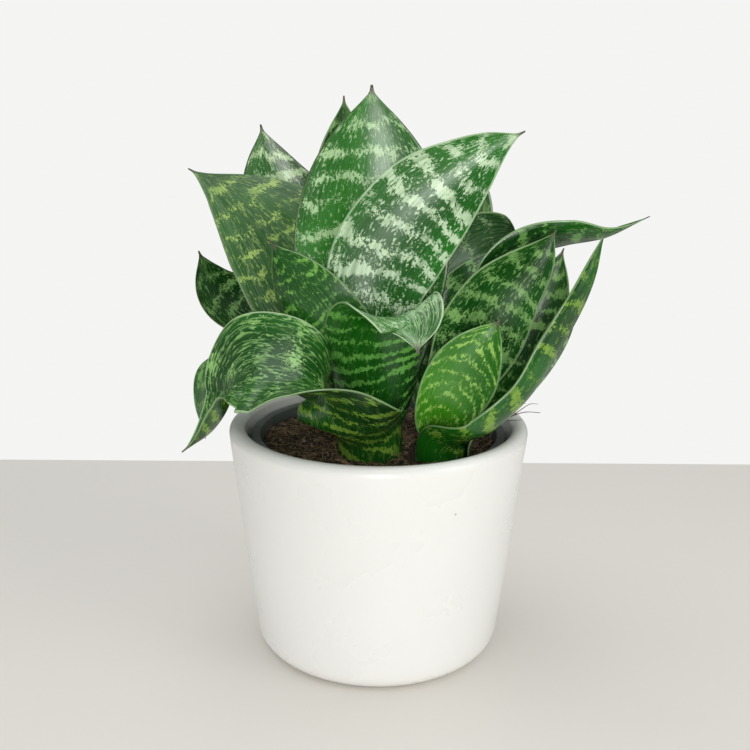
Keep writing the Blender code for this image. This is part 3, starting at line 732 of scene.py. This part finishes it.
def makeLeaf(spec, order, bandGroup):
    count = plant["acrossSteps"]
    at = np.linspace(0, 1, plant["stations"] + 1)
    even = np.linspace(-1, 1, count + 1)
    over = np.sin(even * math.pi / 2) * 0.35 + even * 0.65  # closer together towards the margins
    grid, facing, thick, half, length = bladeOf(spec, at, over)
    ripple = np.sin(at[:, None] * length / plant["rippleLength"] + order * 1.7)
    ripple = plant["ripple"] * np.abs(over[None, :]) ** 3 * ripple * np.sin(np.pi * at)[:, None]
    grid = grid + facing * ripple[..., None]
    upper = grid + facing * thick[..., None] / 2
    lower = grid - facing * thick[..., None] / 2
    outward = unitVectors(grid[:, [-1, 0]] - grid[:, [-2, 1]])
    bead = grid[:, [-1, 0]] + outward * thick[:, [-1, 0]][..., None] / 2
    loops = np.concatenate([upper, bead[:, :1], lower[:, ::-1], bead[:, 1:]], axis=1) * mm
    size = loops.shape[1]
    spread = np.concatenate([over, [1.0], over[::-1], [-1.0]])
    placeX = np.broadcast_to(spread * spec["width"] / 2, (len(at), size))
    placeY = np.broadcast_to((at * length)[:, None], (len(at), size))
    margin = (1 - np.abs(spread))[None, :] * half[:, None]
    toTip = np.broadcast_to(((1 - at) * length)[:, None], (len(at), size))
    i = np.arange(len(at) - 1)[:, None] * size
    j = np.arange(size)[None, :]
    k = (j + 1) % size
    faces = np.stack([i + j, i + k, i + k + size, i + j + size], axis=-1).reshape(-1, 4).tolist()
    faces.append(list(range(size))[::-1])
    faces.append(list(range((len(at) - 1) * size, len(at) * size)))
    skins = [leafSkin(spec["name"] + side, look, bandGroup)
             for side, look in zip((" upper", " lower"), leafLooks[spec["name"]])]
    piece = meshPiece(spec["name"].replace("leaf_", "") + "_blade", loops.reshape(-1, 3), faces, skins,
                      spec["name"])
    below = np.tile((np.arange(size) > count) & (np.arange(size) < size - 1), len(at) - 1)
    piece.data.polygons.foreach_set("material_index", np.append(below, [False, False]).astype(np.int32))
    layer = np.full(placeX.shape, order * plant["skinStep"])
    storeVectors(piece.data, "bladePlace", placeX, placeY, layer)
    storeVectors(piece.data, "bladeEdges", margin, toTip, np.zeros(placeX.shape))


def storeVectors(data, name, x, y, z):
    layer = data.attributes.new(name, "FLOAT_VECTOR", "POINT")
    layer.data.foreach_set("vector", np.stack([x, y, z], axis=-1).reshape(-1).astype(np.float32))


print("leaves")
bandGroup = makeBandGroup()
for order, spec in enumerate(leafShapes):
    makeLeaf(spec, order, bandGroup)


# Soil: a lumpy bed, loose crumbs, coir fibres, white grains and roots.

soil = {
    "radius": 55.3, "footRadius": 36.0, "domeRadius": 56.0, "dome": 3.2, "lumps": 1.3, "seed": 7,
    "rings": 64, "spokes": 200, "crumble": 0.35, "crownDip": 3.0, "fibres": 900,
    "peat": ((0.030, 0.020, 0.012), (0.075, 0.05, 0.03)),
    "coir": ((0.15, 0.105, 0.05), (0.40, 0.30, 0.16)),
    "scatterRadius": 54, "bits": {  # count, smallest and largest size, colours
        "peat_crumbs": (1900, 0.5, 1.9, ((0.030, 0.021, 0.011), (0.10, 0.072, 0.040))),
        "coir_chips": (320, 0.6, 1.9, ((0.13, 0.09, 0.045), (0.30, 0.225, 0.125))),
        "white_grains": (9, 0.7, 1.2, ((0.72, 0.70, 0.66), (0.86, 0.85, 0.82)))},
}


def soilTop(x, y):
    out = math.hypot(x, y) / soil["domeRadius"]
    return plant["soilHeight"] - soil["dome"] * max(0.0, out - 0.5)


def insideCrown(x, y, margin):
    for crown, (cx, cy) in plant["crowns"].items():
        rings = [spec["ring"] for spec in leafShapes if spec["crown"] == crown]
        radius = plant["ringStart"] + max(rings) * plant["ringPitch"]
        if math.hypot(x - cx, y - cy) < radius + margin:
            return True
    return False


def makeSoilBed(random):
    bottomUp = planter["floor"] + gap + nursery["footRib"] + nursery["wall"] + gap
    rings = soil["rings"]
    spokes = soil["spokes"]
    lumps = random.uniform(-1, 1, (6, 5))

    def lumpAt(x, y):
        total = 0.0
        for a, b, c, d, _ in lumps:
            wave = math.sin(x * (0.25 + 0.3 * abs(a)) + c * 6)
            total += wave * math.sin(y * (0.25 + 0.3 * abs(b)) + d * 6)
        return total / 3 * soil["lumps"]

    points = []
    faces = []
    for r in range(rings + 1):
        for s in range(spokes):
            angle = math.tau * s / spokes
            out = soil["radius"] * r / rings
            x = out * math.cos(angle)
            y = out * math.sin(angle)
            fade = min(1.0, (rings - r) / 4)
            crumble = random.uniform(-soil["crumble"], soil["crumble"]) * fade
            z = soilTop(x, y) + (lumpAt(x, y) - 0.6) * fade * 0.6 + crumble
            if insideCrown(x, y, -1.5):
                z -= soil["crownDip"]
            points.append((x * mm, y * mm, z * mm))
    for r in range(rings):
        for s in range(spokes):
            t = (s + 1) % spokes
            faces.append((r * spokes + s, (r + 1) * spokes + s, (r + 1) * spokes + t, r * spokes + t))
    under = len(points)
    low = soil["footRadius"]
    for s in range(spokes):
        angle = math.tau * s / spokes
        points.append((low * math.cos(angle) * mm, low * math.sin(angle) * mm, bottomUp * mm))
    for s in range(spokes):
        t = (s + 1) % spokes
        faces.append((rings * spokes + s, under + s, under + t, rings * spokes + t))
    faces.append(list(range(under, under + spokes))[::-1])
    peat = soilMaterial("dark peat", *soil["peat"])
    meshPiece("soil_bed", points, faces, [peat], "potting_soil")


def makeGrainGroup():
    group, given, out = newGroup(
        "crumbly grain", [("Place", "vector", None)], [("Grain", "number"), ("Clump", "number")])
    group.links.new(noiseAt(group, given["Place"], 650.0, 4.0, 0.65), out["Grain"])
    group.links.new(noiseAt(group, given["Place"], 160.0, 3.0), out["Clump"])
    return group


def soilMaterial(name, dark, light):
    material, tree, shader = newMaterial(name)
    place = addNode(tree, "ShaderNodeTexCoord").outputs["Object"]
    crumbly = useGroup(tree, grainGroup, {"Place": place})
    grain = crumbly["Grain"]
    tint = blendColours(tree, ramp(tree, grain, 0.35, 0.7), dark, light)
    tint = blendColours(tree, ramp(tree, crumbly["Clump"], 0.55, 0.75, 0.0, 0.6), tint, dark)
    tree.links.new(tint, shader.inputs["Base Color"])
    tree.links.new(ramp(tree, grain, 0.3, 0.7, 0.95, 0.7), shader.inputs["Roughness"])
    bumpInto(tree, shader, grain, 0.0008, 0.9)
    return material


def scatterSpots(random, count, margin):
    spots = []
    while len(spots) < count:
        x, y = random.uniform(-soil["scatterRadius"], soil["scatterRadius"], 2)
        if math.hypot(x, y) < soil["scatterRadius"] and not insideCrown(x, y, margin):
            spots.append((x, y))
    return spots


def makeCrumbs(random):
    ball = bmesh.new()
    bmesh.ops.create_icosphere(ball, subdivisions=2, radius=1.0)
    shape = np.array([v.co[:] for v in ball.verts])
    sides = [[v.index for v in f.verts] for f in ball.faces]
    ball.free()
    for name, (count, low, high, colours) in soil["bits"].items():
        points = []
        faces = []
        for x, y in scatterSpots(random, count, 0.5):
            size = random.uniform(low, high) * (0.6 + 0.4 * random.uniform())
            flat = random.uniform(0.45, 1.0, 3)
            bumps = 1 + random.uniform(-0.28, 0.28, len(shape))
            turn = np.array(Matrix.Rotation(random.uniform(0, math.tau), 3, random.uniform(-1, 1, 3)))
            base = len(points)
            lifted = soilTop(x, y) + random.uniform(-0.3, 1.1)
            lump = (shape * bumps[:, None] * flat * size) @ turn.T + (x, y, lifted)
            points.extend((lump * mm).tolist())
            faces.extend([[base + i for i in side] for side in sides])
        meshPiece(name, points, faces, [soilMaterial(name, *colours)])


def strandMesh(name, strands, material, taper=0.35, sides=5):
    points = []
    faces = []
    for path, radius in strands:
        path = np.array(path, float)
        ahead = unitVectors(np.gradient(path, axis=0))
        side = unitVectors(np.cross(ahead, (0.31, 0.17, 0.93)))
        up = np.cross(side, ahead)
        base = len(points)
        for i in range(len(path)):
            share = 1 - (1 - taper) * i / (len(path) - 1)
            for k in range(sides):
                a = math.tau * k / sides
                offset = (side[i] * math.cos(a) + up[i] * math.sin(a)) * radius * share
                points.append((path[i] + offset) * mm)
        for i in range(len(path) - 1):
            for k in range(sides):
                n = (k + 1) % sides
                row = base + i * sides
                faces.append((row + k, row + n, row + sides + n, row + sides + k))
        faces.append([base + k for k in range(sides)][::-1])
        faces.append([base + (len(path) - 1) * sides + k for k in range(sides)])
    meshPiece(name, points, faces, [material])


def makeFibres(random):
    strands = []
    for x, y in scatterSpots(random, soil["fibres"], 0.5):
        length = random.uniform(4, 15)
        heading = random.uniform(0, math.tau)
        curl = random.uniform(-0.35, 0.35)
        rise = random.uniform(0.0, 0.35) if random.uniform() < 0.75 else random.uniform(0.3, 0.9)
        spot = np.array([x, y, soilTop(x, y) + random.uniform(0.0, 1.0)])
        path = [spot.copy()]
        for step in range(9):
            heading += curl * 0.5 + random.uniform(-0.25, 0.25)
            climb = rise * math.cos(step / 8 * math.pi * 0.75)
            spot = spot + np.array([math.cos(heading), math.sin(heading), climb]) * length / 9
            pastRim = math.hypot(spot[0], spot[1]) > soil["scatterRadius"] + 1
            if pastRim or insideCrown(spot[0], spot[1], 0.5):
                break
            path.append(spot.copy())
        if len(path) > 3:
            strands.append((path, random.uniform(0.10, 0.24)))
    strandMesh("coir_fibres", strands, soilMaterial("coir", *soil["coir"]))


rootSkin = ((0.05, 0.035, 0.022), (0.16, 0.115, 0.07))
roots = [  # midlines in millimetres and thickness; they lie on the soil and over its right edge
    ([(34, -2, 100), (42, 6, 103), (50, 14, 105), (58, 19, 106.5), (66, 20, 107.5)], 0.42),
    ([(48, 12, 104), (56, 20, 108), (63, 22, 111.5), (69, 21, 112.5), (73, 20, 110.5)], 0.30),
    ([(50, -4, 104), (57, -3, 108.5), (63, -4, 111.8), (69, -4, 113.6), (76, -3, 113.0)], 0.34),
    ([(63, -4, 111.8), (67, -4, 115.0), (71, -3, 117.2), (75, -2, 117.0)], 0.24),
    ([(58, -3, 109.0), (62, -9, 111.0), (66, -13, 112.6)], 0.22),
    ([(30, 6, 100), (38, 15, 103), (45, 24, 104), (52, 30, 103)], 0.38),
    ([(40, -14, 100), (47, -5, 103), (53, 4, 103.5), (56, 14, 102)], 0.36),
    ([(38, -20, 99.5), (46, -14, 102), (52, -6, 102), (55, 4, 101)], 0.30),
    ([(44, 2, 101), (50, -3, 103.5), (54, -10, 102)], 0.28),
    ([(36, 10, 100), (44, 10, 104), (52, 7, 105), (57, 2, 102.5)], 0.30),
    ([(-24, -34, 99.5), (-21, -40, 101.5), (-15, -46, 102), (-8, -50, 101)], 0.32),
    ([(2, -44, 99.5), (8, -48, 101.5), (15, -50, 101.5), (22, -49, 100.5)], 0.28),
]


def makeRoots():
    strands = []
    for points, radius in roots:
        knots = np.linspace(0, 1, len(points))
        strands.append((splineThrough(knots, points, np.linspace(0, 1, 30)), radius))
    strandMesh("loose_roots", strands, soilMaterial("root skin", *rootSkin), taper=0.4, sides=8)


bract = {  # dry papery scale at the foot of the arching leaf
    "points": [(-22, -36, 99), (-18, -42, 103.5), (-11.5, -47.5, 102.5), (-6, -50, 100.5)],
    "width": 1.8, "thickness": 0.24, "colours": ((0.12, 0.08, 0.04), (0.32, 0.23, 0.13)),
}


def makeBract():
    at = np.linspace(0, 1, 24)
    middle = splineThrough(np.linspace(0, 1, 4), bract["points"], at)
    ahead = unitVectors(np.gradient(middle, axis=0))
    side = unitVectors(np.cross(ahead, (0.0, -0.6, 0.8)))
    up = np.cross(side, ahead)
    across = np.linspace(-1, 1, 9)
    half = bract["width"] / 2 * np.sin(np.pi * np.clip(at * 0.96 + 0.03, 0, 1)) ** 0.6
    sheet = middle[:, None] + side[:, None] * (half[:, None] * across)[..., None]
    sheet = sheet - up[:, None] * (0.5 * half[:, None] * across ** 2)[..., None]
    skin = up[:, None] * bract["thickness"] / 2
    loops = np.concatenate([sheet + skin, (sheet - skin)[:, ::-1]], axis=1)
    size = loops.shape[1]
    faces = [(i * size + j, i * size + (j + 1) % size, (i + 1) * size + (j + 1) % size, (i + 1) * size + j)
             for i in range(len(at) - 1) for j in range(size)]
    faces.append(list(range(size))[::-1])
    faces.append(list(range((len(at) - 1) * size, len(at) * size)))
    paper = soilMaterial("dry scale skin", *bract["colours"])
    meshPiece("dry_scale", loops.reshape(-1, 3) * mm, faces, [paper])


crownLook = {"tissue": ((0.30, 0.20, 0.10), (0.52, 0.41, 0.22)), "stain": (0.12, 0.075, 0.04)}


def crownMaterial():
    material, tree, shader = newMaterial("pale crown tissue")
    place = addNode(tree, "ShaderNodeTexCoord").outputs["Object"]
    rings = addNode(tree, "ShaderNodeTexWave", {"Vector": place, "Scale": 160.0, "Distortion": 3.0},
                    bands_direction="Z").outputs["Fac"]
    grain = noiseAt(tree, place, 300.0, 4.0)
    tint = blendColours(tree, rings, *crownLook["tissue"])
    tint = blendColours(tree, ramp(tree, grain, 0.4, 0.7, 0.0, 0.7), tint, crownLook["stain"])
    tree.links.new(tint, shader.inputs["Base Color"])
    tree.links.new(ramp(tree, grain, 0.3, 0.7, 0.55, 0.85), shader.inputs["Roughness"])
    bumpInto(tree, shader, compute(tree, "ADD", rings, grain), 0.0006, 0.8)
    return material


def dressCrowns():
    skin = crownMaterial()
    for crown in plant["crowns"]:
        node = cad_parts["crown_" + crown]
        node.data.materials.clear()
        node.data.materials.append(skin)


print("planter and nursery pot")
makePlanter()
makeNurseryPot()

print("soil and crowns")
grainGroup = makeGrainGroup()
random = np.random.default_rng(soil["seed"])
makeSoilBed(random)
makeCrumbs(random)
makeFibres(random)
makeRoots()
makeBract()
dressCrowns()
